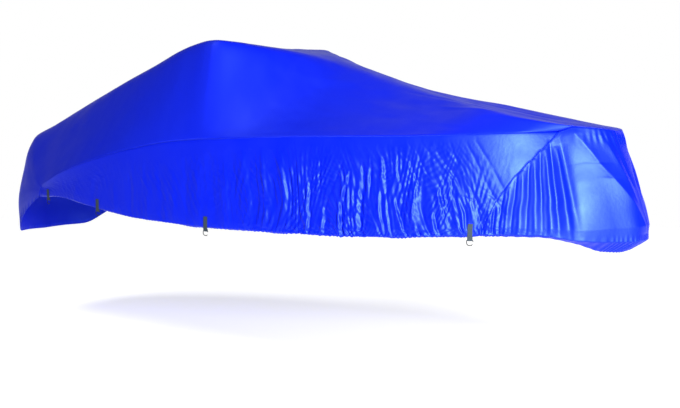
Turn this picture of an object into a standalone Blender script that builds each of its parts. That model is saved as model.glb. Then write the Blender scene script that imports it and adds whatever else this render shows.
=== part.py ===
"""Fitted elastic-hem cover for a small open cabin boat, as it hangs over the boat.

Metres, +X toward the bow, +Y to port, +Z up. The tables count from a point below the transom, on
the centreline; the finished part has its origin at HELD_AT, under the top where the boat's
windscreen frame carries it. The boat is left out, so the cover is hollow and open underneath.
"""
import math

import bmesh
import bpy
from mathutils import Vector

# ---- driving dimensions -------------------------------------------------------------------------
HELD_AT = (2.18, 0.0, 1.732)    # the part's origin, in the tables' coordinates
CLOTH = 0.002           # thickness of the coated cloth with its hem and seams
SEAM_PULL = 0.0003      # each panel's edge stands back this far from the seam line
PLAN_POWER = 2.7        # roundness of the pulpit front and of the stern, seen from above
RIDGE_SOFT = 0.07       # how softly the top bends over its ridges
FRONT = 0.45            # stretch of the skirt's stations that lies round the pulpit front
QUARTER = 4.55          # station of the stern quarter, where the side panels end
KNUCKLE = 0.80          # share of the skirt's drop at which it reaches the rubbing strake
CHIN = 0.91             # share of the drop at which it turns under
SIDE_COLUMNS = 42
DECK_COLUMNS = 22
FLAP_LENGTH = 0.90      # stations of the flap that hangs from the stern edge
DROPS = (0.0, 0.13, 0.27, 0.41, 0.55, 0.68, KNUCKLE, CHIN, 1.0)

WEBBING_WIDTH = 0.038
WEBBING = 0.0016
CLEAR = 0.0006          # air left between the webbing and what it touches
TAB_SEWN = 0.030        # sewn stretch of the tab, above the knuckle
TAB_FALL = 0.022        # from the hem down to the hook's bar
TAB_TAIL = 0.018        # how far the webbing returns up behind itself, above the bar
HOOK_WIRE = 0.0060      # thickness of the plastic hook
HOOK_WIDTH = 0.051
HOOK_CORNER = 0.0045
HOOK_DROP = 0.015       # from the bar to the centre of the hook's round
HOOK_SIDES = 8
TAUT = 0.070            # the hem is pulled smooth this far to each side of a tab
TAUT_FROM = 0.60        # from this share of the drop down
TAB_STATIONS = (0.45, 2.585, 3.75, 4.42)

# The top, from the pulpit to the transom. "aft" counts metres aft of the pulpit's corner, and past
# QUARTER it counts down the stern flap. "ridge" is the ridge's share of the half breadth.
DECK_COLUMNS_NAMED = ("aft", "x_side", "x_mid", "half", "z_side", "ridge", "z_ridge", "z_mid")
DECK_SECTIONS = (
    (0.00, 4.85, 5.18, 0.385, 1.085, 0.88, 1.122, 1.085),
    (0.23, 4.62, 4.76, 0.580, 1.076, 0.80, 1.168, 1.130),
    (0.55, 4.30, 4.36, 0.740, 1.062, 0.62, 1.236, 1.200),
    (0.95, 3.90, 3.92, 0.860, 1.045, 0.31, 1.325, 1.300),
    (1.40, 3.45, 3.45, 0.945, 1.035, 0.16, 1.445, 1.440),
    (1.80, 3.05, 3.05, 0.990, 1.025, 0.19, 1.570, 1.565),
    (2.15, 2.70, 2.70, 1.020, 1.010, 0.36, 1.675, 1.672),
    (2.43, 2.42, 2.42, 1.035, 0.995, 0.64, 1.725, 1.715),
    (2.67, 2.18, 2.18, 1.040, 0.982, 0.82, 1.762, 1.735),
    (2.92, 1.93, 1.93, 1.040, 0.962, 0.79, 1.722, 1.720),
    (3.35, 1.50, 1.48, 1.025, 0.893, 0.73, 1.570, 1.580),
    (3.85, 1.00, 0.94, 0.980, 0.775, 0.66, 1.385, 1.390),
    (4.25, 0.60, 0.46, 0.920, 0.650, 0.59, 1.215, 1.215),
    (4.45, 0.38, 0.02, 0.860, 0.560, 0.54, 1.060, 1.060),
    (4.55, 0.30, -0.28, 0.830, 0.520, 0.52, 0.945, 0.950),
    (4.85, 0.29, -0.44, 0.830, 0.490, 0.56, 0.620, 0.620),
    (5.18, 0.28, -0.53, 0.830, 0.455, 0.56, 0.300, 0.290),
    (5.45, 0.27, -0.50, 0.830, 0.435, 0.56, 0.045, 0.030),
)

# The skirt hangs from the edge of the top, over the rubbing strake (knuckle), to the elastic hem.
SKIRT_COLUMNS_NAMED = ("aft", "knuckle_x", "knuckle_y", "knuckle_z", "chin", "hem_x", "hem_y", "hem_z")
SKIRT_SECTIONS = (
    (-0.45, 5.405, 0.000, 0.425, 0.110, 5.28, 0.000, 0.235),
    (-0.29, 5.385, 0.110, 0.422, 0.110, 5.24, 0.100, 0.225),
    (-0.11, 5.240, 0.260, 0.410, 0.100, 5.14, 0.230, 0.235),
    (0.000, 5.050, 0.420, 0.400, 0.080, 4.99, 0.390, 0.300),
    (0.115, 4.800, 0.575, 0.410, 0.050, 4.79, 0.555, 0.345),
    (0.230, 4.580, 0.690, 0.415, 0.050, 4.58, 0.670, 0.348),
    (0.550, 4.280, 0.815, 0.400, 0.050, 4.28, 0.795, 0.335),
    (0.950, 3.880, 0.930, 0.375, 0.050, 3.88, 0.910, 0.314),
    (1.400, 3.450, 1.000, 0.362, 0.050, 3.45, 0.980, 0.302),
    (1.800, 3.050, 1.035, 0.358, 0.050, 3.05, 1.015, 0.298),
    (2.150, 2.700, 1.050, 0.356, 0.050, 2.70, 1.030, 0.296),
    (2.430, 2.420, 1.055, 0.356, 0.050, 2.42, 1.035, 0.296),
    (2.670, 2.180, 1.055, 0.358, 0.050, 2.18, 1.035, 0.298),
    (2.920, 1.930, 1.050, 0.364, 0.050, 1.93, 1.030, 0.306),
    (3.350, 1.500, 1.025, 0.385, 0.050, 1.50, 1.005, 0.332),
    (3.850, 1.000, 0.980, 0.442, 0.045, 1.00, 0.960, 0.394),
    (4.250, 0.600, 0.910, 0.482, 0.035, 0.60, 0.890, 0.440),
    (4.550, 0.280, 0.832, 0.460, 0.018, 0.27, 0.828, 0.430),
)

# The seam between bow panel and side panel runs aft and down from the pulpit's corner.
BOW_SEAM_COLUMNS = ("drop", "aft")
BOW_SEAM = ((0.0, 0.0), (0.20, 0.125), (0.43, 0.235), (0.66, 0.315), (0.80, 0.350), (1.0, 0.360))

# Main folds of the skirt: each runs from (aft_top, top) down to (aft_foot, foot), shares of the drop.
FOLD_COLUMNS = ("aft_top", "top", "aft_foot", "foot", "width", "depth")
SKIRT_FOLDS = (
    (-0.20, 0.02, -0.45, 0.78, 0.10, 0.014),
    (-0.05, 0.25, 0.00, 0.85, 0.07, -0.010),
    (0.05, 0.30, 0.06, 0.88, 0.06, 0.012),
    (0.10, 0.15, 0.10, 0.88, 0.05, -0.016),
    (0.15, 0.35, 0.16, 0.88, 0.05, 0.012),
    (0.22, 0.42, 0.21, 0.88, 0.05, -0.014),
    (0.45, 0.10, 0.30, 0.80, 0.08, 0.010),
    (0.62, 0.15, 0.52, 0.85, 0.10, -0.014),
    (0.80, 0.25, 0.70, 0.85, 0.09, 0.013),
    (0.98, 0.20, 0.90, 0.88, 0.10, -0.016),
    (1.20, 0.30, 1.12, 0.88, 0.10, 0.017),
    (1.40, 0.15, 1.34, 0.85, 0.10, -0.014),
    (1.62, 0.25, 1.55, 0.88, 0.11, 0.016),
    (1.85, 0.20, 1.75, 0.85, 0.10, -0.012),
    (2.08, 0.15, 1.96, 0.85, 0.11, 0.013),
    (2.32, 0.12, 2.18, 0.80, 0.10, -0.012),
    (2.55, 0.20, 2.42, 0.75, 0.11, 0.010),
    (2.85, 0.25, 2.74, 0.80, 0.12, -0.008),
    (3.15, 0.30, 3.05, 0.85, 0.14, 0.008),
    (3.50, 0.35, 3.42, 0.85, 0.14, -0.006),
    (3.90, 0.40, 3.95, 0.85, 0.14, 0.005),
)


# ---- scene --------------------------------------------------------------------------------------
def clear_scene():
    for thing in list(bpy.data.objects):
        bpy.data.objects.remove(thing, do_unlink=True)


def material(name, colour, roughness, coat=0.0):
    made = bpy.data.materials.new(name)
    made.use_nodes = True
    shader = made.node_tree.nodes["Principled BSDF"]
    shader.inputs["Base Color"].default_value = (*colour, 1.0)
    shader.inputs["Metallic"].default_value = 0.0
    shader.inputs["Roughness"].default_value = roughness
    shader.inputs["Coat Weight"].default_value = coat
    made.diffuse_color = (*colour, 1.0)
    return made


# ---- tables as smooth curves --------------------------------------------------------------------
def slopes(xs, ys):
    """Slopes that keep a curve through the rows free of overshoot."""
    steps = [b - a for a, b in zip(xs, xs[1:])]
    rises = [(b - a) / step for a, b, step in zip(ys, ys[1:], steps)]
    found = [rises[0]]
    for before, after, step, following in zip(rises, rises[1:], steps, steps[1:]):
        if before * after <= 0.0:
            found.append(0.0)
            continue
        near = 2.0 * following + step
        far = following + 2.0 * step
        found.append((near + far) / (near / before + far / after))
    found.append(rises[-1])
    return found


class Table:
    """Rows of named columns, read at any value of the first column."""

    def __init__(self, names, rows):
        self.keys = [row[0] for row in rows]
        self.columns = {}
        for place, name in enumerate(names):
            values = [row[place] for row in rows]
            self.columns[name] = (values, slopes(self.keys, values))

    def at(self, name, key):
        values, tangents = self.columns[name]
        key = min(max(key, self.keys[0]), self.keys[-1])
        row = 0
        while row < len(self.keys) - 2 and key > self.keys[row + 1]:
            row += 1
        step = self.keys[row + 1] - self.keys[row]
        t = (key - self.keys[row]) / step
        start = (2 * t ** 3 - 3 * t ** 2 + 1) * values[row] + (t ** 3 - 2 * t ** 2 + t) * step * tangents[row]
        end = (3 * t ** 2 - 2 * t ** 3) * values[row + 1] + (t ** 3 - t ** 2) * step * tangents[row + 1]
        return start + end


DECK = Table(DECK_COLUMNS_NAMED, DECK_SECTIONS)
SKIRT = Table(SKIRT_COLUMNS_NAMED, SKIRT_SECTIONS)
SEAM = Table(BOW_SEAM_COLUMNS, BOW_SEAM)


# ---- surfaces -----------------------------------------------------------------------------------
def deck_point(aft, across):
    """A point of the top; across runs from -1 at the starboard edge to 1 at the port edge."""
    share = abs(across)
    ridge = DECK.at("ridge", aft)
    side_x = DECK.at("x_side", aft)
    x = side_x + (DECK.at("x_mid", aft) - side_x) * (1.0 - share ** PLAN_POWER)
    side_z = DECK.at("z_side", aft)
    ridge_z = DECK.at("z_ridge", aft)
    climb = (1.0 - share) / (1.0 - ridge)
    climb = -RIDGE_SOFT * math.log(math.exp(-climb / RIDGE_SOFT) + math.exp(-1.0 / RIDGE_SOFT))
    z = side_z + (ridge_z - side_z) * climb
    z += (DECK.at("z_mid", aft) - ridge_z) * max(0.0, 1.0 - share / ridge)
    return Vector((x, across * DECK.at("half", aft), z))


def rail_point(aft):
    """The skirt's top edge on the starboard half, from the pulpit's middle (-FRONT) to the quarter."""
    if aft < 0.0:
        return deck_point(0.0, -1.0 - aft / FRONT)
    return deck_point(aft, -1.0)


def skirt_point(aft, drop):
    """A point of the starboard skirt before its folds."""
    rail = rail_point(aft)
    knuckle = Vector((SKIRT.at("knuckle_x", aft), -SKIRT.at("knuckle_y", aft), SKIRT.at("knuckle_z", aft)))
    chin = knuckle - Vector((0.0, 0.0, SKIRT.at("chin", aft)))
    hem = Vector((SKIRT.at("hem_x", aft), -SKIRT.at("hem_y", aft), SKIRT.at("hem_z", aft)))
    if drop <= KNUCKLE:
        return rail.lerp(knuckle, drop / KNUCKLE)
    if drop <= CHIN:
        return knuckle.lerp(chin, (drop - KNUCKLE) / (CHIN - KNUCKLE))
    return chin.lerp(hem, (drop - CHIN) / (1.0 - CHIN))


def fold_height(aft, drop):
    """How far the main folds stand out of the skirt at a point."""
    height = 0.0
    for aft_top, top, aft_foot, foot, width, depth in SKIRT_FOLDS:
        if not top < drop < foot:
            continue
        along = (drop - top) / (foot - top)
        off = (aft - aft_top - (aft_foot - aft_top) * along) / width
        height += depth * math.sin(math.pi * along) ** 0.6 * math.exp(-2.0 * off * off)
    if drop > TAUT_FROM:
        for station in TAB_STATIONS:
            height *= min(1.0, max(0.0, abs(aft - station) - TAUT) / TAUT)
    return height


def stretch(first, last, steps):
    return [first + (last - first) * step / steps for step in range(steps + 1)]


def port(point):
    return Vector((point.x, -point.y, point.z))


# ---- panels as grids of points, outer face ------------------------------------------------------
def side_grid():
    """Starboard side panel: a row for each drop, columns from the bow seam to the quarter."""
    points, folds = [], []
    for drop in DROPS:
        first = SEAM.at("aft", drop)
        stations = stretch(first, QUARTER, SIDE_COLUMNS)
        points.append([skirt_point(aft, drop) for aft in stations])
        folds.append([fold_height(aft, drop) for aft in stations])
    return points, folds


def bow_grid():
    """Bow panel: columns run from the port bow seam round the stem to the starboard one."""
    points, folds = [], []
    for drop in DROPS:
        reach = FRONT + SEAM.at("aft", drop)
        row, heights = [], []
        for across in stretch(1.0, -1.0, DECK_COLUMNS):
            aft = abs(across) * reach - FRONT
            point = skirt_point(aft, drop)
            row.append(port(point) if across > 0.0 else point)
            heights.append(fold_height(aft, drop))
        points.append(row)
        folds.append(heights)
    return points, folds


def deck_grid():
    """Top panel, from the pulpit front over the frame and down the transom."""
    shares = stretch(-1.0, 1.0, DECK_COLUMNS)
    points = [[deck_point(aft, share) for share in shares] for aft in stretch(0.0, QUARTER, SIDE_COLUMNS)]
    for drop in DROPS[1:]:
        row = [deck_point(QUARTER + FLAP_LENGTH * drop, share) for share in shares]
        row[0] = skirt_point(QUARTER, drop)
        row[-1] = port(row[0])
        points.append(row)
    return points, [[0.0] * len(row) for row in points]


def mirrored(grid):
    """The same panel on the port side, with its columns turned so that it still faces out."""
    points, folds = grid
    return [[port(point) for point in reversed(row)] for row in points], [row[::-1] for row in folds]


# ---- shared normals, folds and thickness --------------------------------------------------------
def key(point):
    return tuple(round(value, 5) for value in point)


def grid_normals(grids):
    """Normals at every grid point, averaged over all panels that meet there."""
    sums = {}
    for points in grids:
        for upper, lower in zip(points, points[1:]):
            for a, b, c, d in zip(upper, upper[1:], lower[1:], lower):
                face = (c - a).cross(d - b)
                for corner in (a, b, c, d):
                    sums[key(corner)] = sums.get(key(corner), Vector()) + face
    return sums


def displaced(points, heights, normals):
    return [[point + normals[key(point)].normalized() * height for point, height in zip(row, line)]
            for row, line in zip(points, heights)]


def drawn_in(points):
    """The grid with each of its four edges stood back from the seam line."""
    rows = [row[:] for row in points]
    for row, source in zip(rows, points):
        row[0] = source[0] + (source[1] - source[0]).normalized() * SEAM_PULL
        row[-1] = source[-1] + (source[-2] - source[-1]).normalized() * SEAM_PULL
    for column in range(len(rows[0])):
        down = (points[1][column] - points[0][column]).normalized() * SEAM_PULL
        up = (points[-2][column] - points[-1][column]).normalized() * SEAM_PULL
        rows[0][column] = rows[0][column] + down
        rows[-1][column] = rows[-1][column] + up
    return rows


def sheet(name, outer, inner, finish):
    """A closed sheet between an outer and an inner grid."""
    height, width = len(outer), len(outer[0])
    vertices = [point for rows in (outer, inner) for row in rows for point in row]
    under = height * width
    faces = []
    for row in range(height - 1):
        for column in range(width - 1):
            a = row * width + column
            faces.append((a, a + 1, a + width + 1))
            faces.append((a, a + width + 1, a + width))
            faces.append((under + a, under + a + width + 1, under + a + 1))
            faces.append((under + a, under + a + width, under + a + width + 1))
    edge = [column for column in range(width)]
    edge += [row * width + width - 1 for row in range(1, height)]
    edge += [(height - 1) * width + column for column in range(width - 2, -1, -1)]
    edge += [row * width for row in range(height - 2, 0, -1)]
    for a, b in zip(edge, edge[1:] + edge[:1]):
        faces.append((a, under + a, under + b))
        faces.append((a, under + b, b))
    return add_mesh(name, vertices, faces, finish)


def add_mesh(name, vertices, faces, finish):
    mesh = bpy.data.meshes.new(name)
    origin = Vector(HELD_AT)
    mesh.from_pydata([tuple(point - origin) for point in vertices], [], faces)
    mesh.materials.append(finish)
    mesh.update()
    made = bpy.data.objects.new(name, mesh)
    bpy.context.scene.collection.objects.link(made)
    return made


def build_cloth(finish):
    side = side_grid()
    panels = {
        "deck_panel": deck_grid(),
        "side_panel_starboard": side,
        "side_panel_port": mirrored(side),
        "bow_panel": bow_grid(),
    }
    flat = grid_normals([points for points, _ in panels.values()])
    folded = {name: displaced(points, heights, flat) for name, (points, heights) in panels.items()}
    normals = grid_normals(folded.values())
    for name, points in folded.items():
        inner = [[point - normals[key(point)].normalized() * CLOTH for point in row] for row in points]
        sheet(name, drawn_in(points), drawn_in(inner), finish)


# ---- webbing tabs and hooks ---------------------------------------------------------------------
def tab_frame(aft):
    """Knuckle point of a tab, with the unit vectors forward along the hem and outward from it."""
    ahead = skirt_point(aft - 0.02, KNUCKLE)
    behind = skirt_point(aft + 0.02, KNUCKLE)
    forward = ahead - behind
    forward.z = 0.0
    forward.normalize()
    outward = forward.cross(Vector((0.0, 0.0, 1.0)))
    return skirt_point(aft, KNUCKLE), forward, outward


def loop_radius():
    return HOOK_WIRE / 2.0 + CLEAR + WEBBING / 2.0


def bar_centre(aft):
    """Centre of the hook's bar below a tab."""
    knuckle, forward, outward = tab_frame(aft)
    front = 3.0 * CLEAR + WEBBING / 2.0
    centre = knuckle + outward * (front - loop_radius())
    centre.z = skirt_point(aft, 1.0).z - TAB_FALL
    return centre, forward, outward


def tab_path(aft):
    """The webbing's middle line: sewn on above the knuckle, down, round the bar and back up."""
    knuckle, forward, outward = tab_frame(aft)
    centre, _, _ = bar_centre(aft)
    wall = rail_point(aft).z - knuckle.z
    front = outward * (3.0 * CLEAR + WEBBING / 2.0)
    path = []
    for share in (1.0, 0.5, 0.0):
        on_cloth = skirt_point(aft, KNUCKLE * (1.0 - share * min(TAB_SEWN / wall, 0.9)))
        path.append((on_cloth + front, outward))
    radius = loop_radius()
    for step in range(9):
        turn = math.pi * step / 8.0
        normal = outward * math.cos(turn) - Vector((0.0, 0.0, math.sin(turn)))
        path.append((centre + normal * radius, normal))
    behind = centre + outward * (radius - WEBBING - CLEAR)
    for share in (0.6, 1.0):
        path.append((behind + Vector((0.0, 0.0, TAB_TAIL * share)), -outward))
    return path, forward


def band(name, path, forward, finish):
    """A webbing strip of constant width along a path of (middle, normal) pairs."""
    half = forward * (WEBBING_WIDTH / 2.0)
    vertices = []
    for middle, normal in path:
        rise = normal * (WEBBING / 2.0)
        vertices += [middle - half - rise, middle + half - rise, middle + half + rise, middle - half + rise]
    return closed_sweep(name, vertices, 4, finish)


def closed_sweep(name, vertices, sides, finish):
    """A solid through rings of points, with flat ends."""
    last = len(vertices) - sides
    faces = [tuple(range(sides)), tuple(last + side for side in reversed(range(sides)))]
    for start in range(0, last, sides):
        for side in range(sides):
            a = start + side
            b = start + (side + 1) % sides
            faces.append((a, a + sides, b + sides, b))
    made = add_mesh(name, vertices, faces, finish)
    tidy = bmesh.new()
    tidy.from_mesh(made.data)
    bmesh.ops.recalc_face_normals(tidy, faces=tidy.faces)
    tidy.to_mesh(made.data)
    tidy.free()
    return made


def arc(centre_x, centre_z, radius, start, end, steps):
    angles = [math.radians(value) for value in stretch(start, end, steps)]
    return [(centre_x + radius * math.cos(a), centre_z + radius * math.sin(a)) for a in angles]


def hook_outline():
    """The open hook's middle line: short arm, bar through the webbing, long arm and round."""
    half = (HOOK_WIDTH - HOOK_WIRE) / 2.0
    inner = half - HOOK_CORNER
    outline = [(half, -0.011)]
    outline += arc(inner, -HOOK_CORNER, HOOK_CORNER, 0.0, 90.0, 4)
    outline += arc(-inner, -HOOK_CORNER, HOOK_CORNER, 90.0, 180.0, 4)
    outline += arc(0.0, -HOOK_DROP, half, 180.0, 326.0, 16)
    return outline


def hook(name, aft, mirror, finish):
    centre, forward, outward = bar_centre(aft)
    outline = hook_outline()
    vertices = []
    for place, (along, up) in enumerate(outline):
        before = outline[max(place - 1, 0)]
        after = outline[min(place + 1, len(outline) - 1)]
        run = forward * (after[0] - before[0]) + Vector((0.0, 0.0, after[1] - before[1]))
        across = run.normalized().cross(outward)
        middle = centre + forward * along + Vector((0.0, 0.0, up))
        for side in range(HOOK_SIDES):
            turn = 2.0 * math.pi * side / HOOK_SIDES
            rim = outward * math.cos(turn) + across * math.sin(turn)
            vertices.append(middle + rim * (HOOK_WIRE / 2.0))
    if mirror:
        vertices = [port(point) for point in vertices]
    return closed_sweep(name, vertices, HOOK_SIDES, finish)


def build_tabs(webbing, plastic):
    for number, aft in enumerate(TAB_STATIONS, start=1):
        path, forward = tab_path(aft)
        band(f"tab_starboard_{number}", path, forward, webbing)
        port_path = [(port(middle), port(normal)) for middle, normal in path]
        band(f"tab_port_{number}", port_path, port(forward), webbing)
        hook(f"hook_starboard_{number}", aft, False, plastic)
        hook(f"hook_port_{number}", aft, True, plastic)


def main():
    clear_scene()
    cloth = material("coated_cover_cloth", (0.003, 0.022, 0.80), 0.32, 0.35)
    webbing = material("grey_webbing", (0.085, 0.115, 0.16), 0.75)
    plastic = material("dark_hook_plastic", (0.035, 0.04, 0.045), 0.45)
    build_cloth(cloth)
    build_tabs(webbing, plastic)


main()
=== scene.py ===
import math

import bpy
import numpy as np
from mathutils import Matrix, Vector


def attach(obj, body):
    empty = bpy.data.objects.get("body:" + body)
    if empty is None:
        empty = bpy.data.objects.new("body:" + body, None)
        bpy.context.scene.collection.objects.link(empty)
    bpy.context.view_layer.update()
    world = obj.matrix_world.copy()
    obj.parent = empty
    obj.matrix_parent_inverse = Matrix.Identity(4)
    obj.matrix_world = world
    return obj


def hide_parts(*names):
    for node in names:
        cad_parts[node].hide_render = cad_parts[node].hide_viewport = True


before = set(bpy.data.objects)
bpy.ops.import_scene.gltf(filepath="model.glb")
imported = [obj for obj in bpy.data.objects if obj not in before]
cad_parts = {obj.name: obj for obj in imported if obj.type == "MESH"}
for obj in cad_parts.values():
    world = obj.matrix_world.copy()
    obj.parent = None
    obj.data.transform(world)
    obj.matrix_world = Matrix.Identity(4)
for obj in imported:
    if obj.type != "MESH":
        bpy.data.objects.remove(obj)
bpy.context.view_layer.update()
print("frame loaded:", len(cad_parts), "nodes")

# Stations count metres aft of the pulpit front; a drop is a share of the way from the rail seam to the hem.
# The tables have their zero under the transom, the frame has it where the boat holds the cover up.
heldAt = np.array((2.18, 0.0, 1.732))
frontSpan = 0.45  # stations of the skirt that lie round the pulpit front
quarterAft = 4.55  # station where the side panels end
knuckleDrop = 0.80  # drop at the rubbing strake
chinDrop = 0.91  # drop where the cloth turns under
hemLineDrop = 0.915  # drop of the stitching above the elastic
skirtTall = 0.64  # metres of cloth from the rail seam to the hem
seamTall = 0.63  # the same, as measured close to the rail seam
planPower = 2.7  # how squarely the top's cross lines bend in plan
ridgeSoft = 0.07  # how softly the top bends over its ridge
flapSpan = 0.90  # stations of the flap that hangs over the stern
clothThick = 0.0018


def hexLinear(code):
    channels = [int(code[place:place + 2], 16) / 255.0 for place in (1, 3, 5)]
    return tuple(c / 12.92 if c <= 0.04045 else ((c + 0.055) / 1.055) ** 2.4 for c in channels) + (1.0,)


def addNode(tree, kind, settings=None, links=None, **values):
    node = tree.nodes.new(kind)
    for name, value in (settings or {}).items():
        setattr(node, name, value)
    for name, value in values.items():
        node.inputs[name.replace("_", " ")].default_value = value
    for name, source in (links or {}).items():
        tree.links.new(source, node.inputs[name])
    return node


def newMaterial(name):
    made = bpy.data.materials.new(name)
    made.use_nodes = True
    made.node_tree.nodes.clear()
    return made, made.node_tree


def finishMaterial(tree, shader):
    output = tree.nodes.new("ShaderNodeOutputMaterial")
    tree.links.new(shader.outputs["BSDF"], output.inputs["Surface"])


def rowSlopes(keys, values):
    # slopes that let a curve through the rows neither overshoot nor ripple
    steps = np.diff(keys)
    rises = np.diff(values) / steps
    slopes = np.empty(len(keys))
    slopes[0], slopes[-1] = rises[0], rises[-1]
    for row in range(1, len(keys) - 1):
        before, after = rises[row - 1], rises[row]
        near = 2.0 * steps[row] + steps[row - 1]
        far = steps[row] + 2.0 * steps[row - 1]
        flat = before * after <= 0.0
        slopes[row] = 0.0 if flat else (near + far) / (near / before + far / after)
    return slopes


def tableCurves(names, rows):
    keys = np.array([row[0] for row in rows])
    curves = {}
    for place, name in enumerate(names):
        values = np.array([row[place] for row in rows], float)
        curves[name] = (keys, values, rowSlopes(keys, values))
    return curves


def along(curves, name, where):
    # the value of one column between the rows of its table
    keys, values, slopes = curves[name]
    where = np.clip(where, keys[0], keys[-1])
    row = np.clip(np.searchsorted(keys, where) - 1, 0, len(keys) - 2)
    step = keys[row + 1] - keys[row]
    t = (where - keys[row]) / step
    start = (2 * t**3 - 3 * t**2 + 1) * values[row] + (t**3 - 2 * t**2 + t) * step * slopes[row]
    return start + (3 * t**2 - 2 * t**3) * values[row + 1] + (t**3 - t**2) * step * slopes[row + 1]


# the top, from the pulpit to the stern and down the flap over the transom
deckNames = ("aft", "sideX", "midX", "half", "sideZ", "ridge", "ridgeZ", "midZ")
deckRows = (
    (0.00, 4.85, 5.18, 0.385, 1.085, 0.88, 1.122, 1.085),
    (0.23, 4.62, 4.76, 0.580, 1.076, 0.80, 1.168, 1.130),
    (0.55, 4.30, 4.36, 0.740, 1.062, 0.62, 1.236, 1.200),
    (0.95, 3.90, 3.92, 0.860, 1.045, 0.31, 1.325, 1.300),
    (1.40, 3.45, 3.45, 0.945, 1.035, 0.16, 1.445, 1.440),
    (1.80, 3.05, 3.05, 0.990, 1.025, 0.19, 1.570, 1.565),
    (2.15, 2.70, 2.70, 1.020, 1.010, 0.36, 1.675, 1.672),
    (2.43, 2.42, 2.42, 1.035, 0.995, 0.64, 1.725, 1.715),
    (2.67, 2.18, 2.18, 1.040, 0.982, 0.82, 1.762, 1.735),
    (2.92, 1.93, 1.93, 1.040, 0.962, 0.79, 1.722, 1.720),
    (3.35, 1.50, 1.48, 1.025, 0.893, 0.73, 1.570, 1.580),
    (3.85, 1.00, 0.94, 0.980, 0.775, 0.66, 1.385, 1.390),
    (4.25, 0.60, 0.46, 0.920, 0.650, 0.59, 1.215, 1.215),
    (4.45, 0.38, 0.02, 0.860, 0.560, 0.54, 1.060, 1.060),
    (4.55, 0.30, -0.28, 0.830, 0.520, 0.52, 0.945, 0.950),
    (4.85, 0.29, -0.44, 0.830, 0.490, 0.56, 0.620, 0.620),
    (5.18, 0.28, -0.53, 0.830, 0.455, 0.56, 0.300, 0.290),
    (5.45, 0.27, -0.50, 0.830, 0.435, 0.56, 0.045, 0.030),
)
deckCurves = tableCurves(deckNames, deckRows)

# the skirt, over the rubbing strake to the elastic hem
skirtNames = ("aft", "knuckleX", "knuckleY", "knuckleZ", "chin", "hemX", "hemY", "hemZ")
skirtRows = (
    (-0.45, 5.405, 0.000, 0.425, 0.110, 5.28, 0.000, 0.235),
    (-0.29, 5.385, 0.110, 0.422, 0.110, 5.24, 0.100, 0.225),
    (-0.11, 5.240, 0.260, 0.410, 0.100, 5.14, 0.230, 0.235),
    (0.000, 5.050, 0.420, 0.400, 0.080, 4.99, 0.390, 0.300),
    (0.115, 4.800, 0.575, 0.410, 0.050, 4.79, 0.555, 0.345),
    (0.230, 4.580, 0.690, 0.415, 0.050, 4.58, 0.670, 0.348),
    (0.550, 4.280, 0.815, 0.400, 0.050, 4.28, 0.795, 0.335),
    (0.950, 3.880, 0.930, 0.375, 0.050, 3.88, 0.910, 0.314),
    (1.400, 3.450, 1.000, 0.362, 0.050, 3.45, 0.980, 0.302),
    (1.800, 3.050, 1.035, 0.358, 0.050, 3.05, 1.015, 0.298),
    (2.150, 2.700, 1.050, 0.356, 0.050, 2.70, 1.030, 0.296),
    (2.430, 2.420, 1.055, 0.356, 0.050, 2.42, 1.035, 0.296),
    (2.670, 2.180, 1.055, 0.358, 0.050, 2.18, 1.035, 0.298),
    (2.920, 1.930, 1.050, 0.364, 0.050, 1.93, 1.030, 0.306),
    (3.350, 1.500, 1.025, 0.385, 0.050, 1.50, 1.005, 0.332),
    (3.850, 1.000, 0.980, 0.442, 0.045, 1.00, 0.960, 0.394),
    (4.250, 0.600, 0.910, 0.482, 0.035, 0.60, 0.890, 0.440),
    (4.550, 0.280, 0.832, 0.460, 0.018, 0.27, 0.828, 0.430),
)
skirtCurves = tableCurves(skirtNames, skirtRows)

# the diagonal seam between the bow panel and each side panel
bowSeamNames = ("drop", "aft")
bowSeamRows = ((0.0, 0.0), (0.20, 0.125), (0.43, 0.235), (0.66, 0.315), (0.80, 0.350), (1.0, 0.360))
bowSeamCurves = tableCurves(bowSeamNames, bowSeamRows)
bowSeamLean = 0.9  # the seam slants, so it is a little nearer than the stations between say


def deckPoint(aft, across):
    # across runs from -1 at the starboard rail to 1 at the port rail
    share = np.abs(across)
    ridge = along(deckCurves, "ridge", aft)
    sideX = along(deckCurves, "sideX", aft)
    x = sideX + (along(deckCurves, "midX", aft) - sideX) * (1.0 - share**planPower)
    sideZ = along(deckCurves, "sideZ", aft)
    ridgeZ = along(deckCurves, "ridgeZ", aft)
    climb = (1.0 - share) / (1.0 - ridge)
    climb = -ridgeSoft * np.logaddexp(-climb / ridgeSoft, -1.0 / ridgeSoft)
    z = sideZ + (ridgeZ - sideZ) * climb
    z = z + (along(deckCurves, "midZ", aft) - ridgeZ) * np.clip(1.0 - share / ridge, 0.0, 1.0)
    return np.stack([x, across * along(deckCurves, "half", aft), z], -1)


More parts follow.
